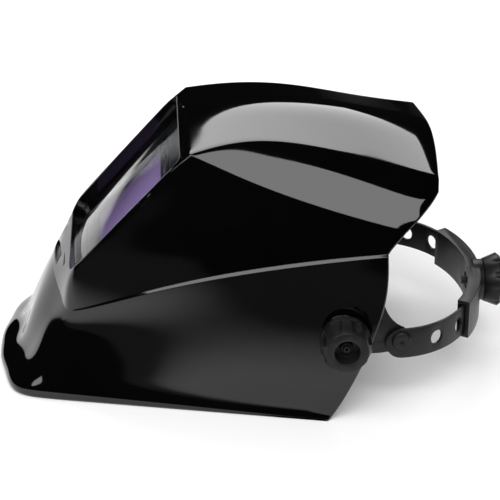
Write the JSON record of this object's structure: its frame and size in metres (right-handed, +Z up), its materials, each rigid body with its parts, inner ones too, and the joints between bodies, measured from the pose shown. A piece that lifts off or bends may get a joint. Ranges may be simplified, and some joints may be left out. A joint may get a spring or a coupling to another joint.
{
  "type": "welding helmet",
  "caption": "Flip-up welding helmet: glossy moulded shell with a sloping window, an auto-darkening filter cartridge, and adjustable ratchet headgear.",
  "frame": {"origin": "on the floor, under the middle of the whole helmet's box, with the shell standing on its bottom rim", "axes": "+Z up, -Y the way the face looks (the chin end), +X the wearer's left; the tilt pivots lie along X"},
  "size_m": [0.266, 0.3638, 0.1894],
  "materials": {
    "shell_black": "high gloss, smooth",
    "lens_clear": "clear polycarbonate",
    "filter_violet": "coated, violet reflection",
    "case_black": "fine moulded grain",
    "solar_blue": "dark amorphous cell",
    "band_black": "satin nylon",
    "knob_black": "satin with worn edges",
    "dial_grey": "satin",
    "steel": "drawn wire",
    "pad_black": "foam under brushed knit"
  },
  "bodies": {
    "shell_unit": {"shell": "shell_black", "cover_lens": "lens_clear", "filter_front_frame": "case_black", "filter_glass": "filter_violet", "filter_back_case": "case_black", "solar_cell": "solar_blue", "inner_cover_lens": "lens_clear", "arc_sensor_left": "solar_blue", "arc_sensor_right": "solar_blue", "cartridge_holder": "case_black"},
    "bail": {"holder_bail": "steel"},
    "shade_control": {"shade_dial": "dial_grey"},
    "sensitivity_control": {"sensitivity_dial": "dial_grey"},
    "delay_control": {"delay_dial": "dial_grey"},
    "battery_drawer": {"battery_tray": "case_black", "coin_cell": "steel"},
    "headgear": {"front_band": "band_black", "sweatband": "pad_black", "side_arm_left": "band_black", "side_arm_right": "band_black", "pivot_stud_left": "knob_black", "pivot_stud_right": "knob_black", "tilt_washer_left": "band_black", "tilt_washer_right": "band_black", "crown_strap_front": "band_black", "crown_strap_rear": "band_black", "strap_rivet_left": "band_black", "strap_rivet_right": "band_black"},
    "left_knob": {"tension_knob_left": "knob_black"},
    "right_knob": {"tension_knob_right": "knob_black"},
    "rear_band": {"rear_strap_left": "band_black", "rear_strap_right": "band_black", "ratchet_housing": "knob_black"},
    "ratchet_dial": {"ratchet_knob": "knob_black", "ratchet_pinion": "case_black"}
  },
  "joints": [
    {"name": "helmet_tilt", "type": "hinge", "parent": "shell_unit", "child": "headgear", "pos_m": [0, 0.058, 0.063], "axis": [1, 0, 0], "range_deg": [-35, 45]},
    {"name": "rear_band_swing", "type": "hinge", "parent": "headgear", "child": "rear_band", "pos_m": [0, 0.0995, 0.0495], "axis": [1, 0, 0], "range_deg": [-12, 14]},
    {"name": "ratchet_turn", "type": "hinge", "parent": "rear_band", "child": "ratchet_dial", "pos_m": [0, 0.17, 0.048], "axis": [0, 1, 0], "continuous": true},
    {"name": "left_knob_turn", "type": "hinge", "parent": "headgear", "child": "left_knob", "pos_m": [0.115, 0.058, 0.063], "axis": [1, 0, 0], "range_deg": [-180, 180]},
    {"name": "right_knob_turn", "type": "hinge", "parent": "headgear", "child": "right_knob", "pos_m": [-0.115, 0.058, 0.063], "axis": [-1, 0, 0], "range_deg": [-180, 180]},
    {"name": "shade_turn", "type": "hinge", "parent": "shell_unit", "child": "shade_control", "pos_m": [0.033, -0.04698, 0.13479], "axis": [0, -0.7379, 0.6749], "range_deg": [-135, 135]},
    {"name": "sensitivity_turn", "type": "hinge", "parent": "shell_unit", "child": "sensitivity_control", "pos_m": [0, -0.04698, 0.13479], "axis": [0, -0.7379, 0.6749], "range_deg": [-135, 135]},
    {"name": "delay_turn", "type": "hinge", "parent": "shell_unit", "child": "delay_control", "pos_m": [-0.033, -0.04698, 0.13479], "axis": [0, -0.7379, 0.6749], "range_deg": [-135, 135]},
    {"name": "battery_slide", "type": "slide", "parent": "shell_unit", "child": "battery_drawer", "axis": [0, -0.6749, -0.7379], "range_m": [0, 0.012]},
    {"name": "bail_swing", "type": "hinge", "parent": "shell_unit", "child": "bail", "pos_m": [0, -0.0456, 0.14668], "axis": [1, 0, 0], "range_deg": [0, 25]}
  ]
}
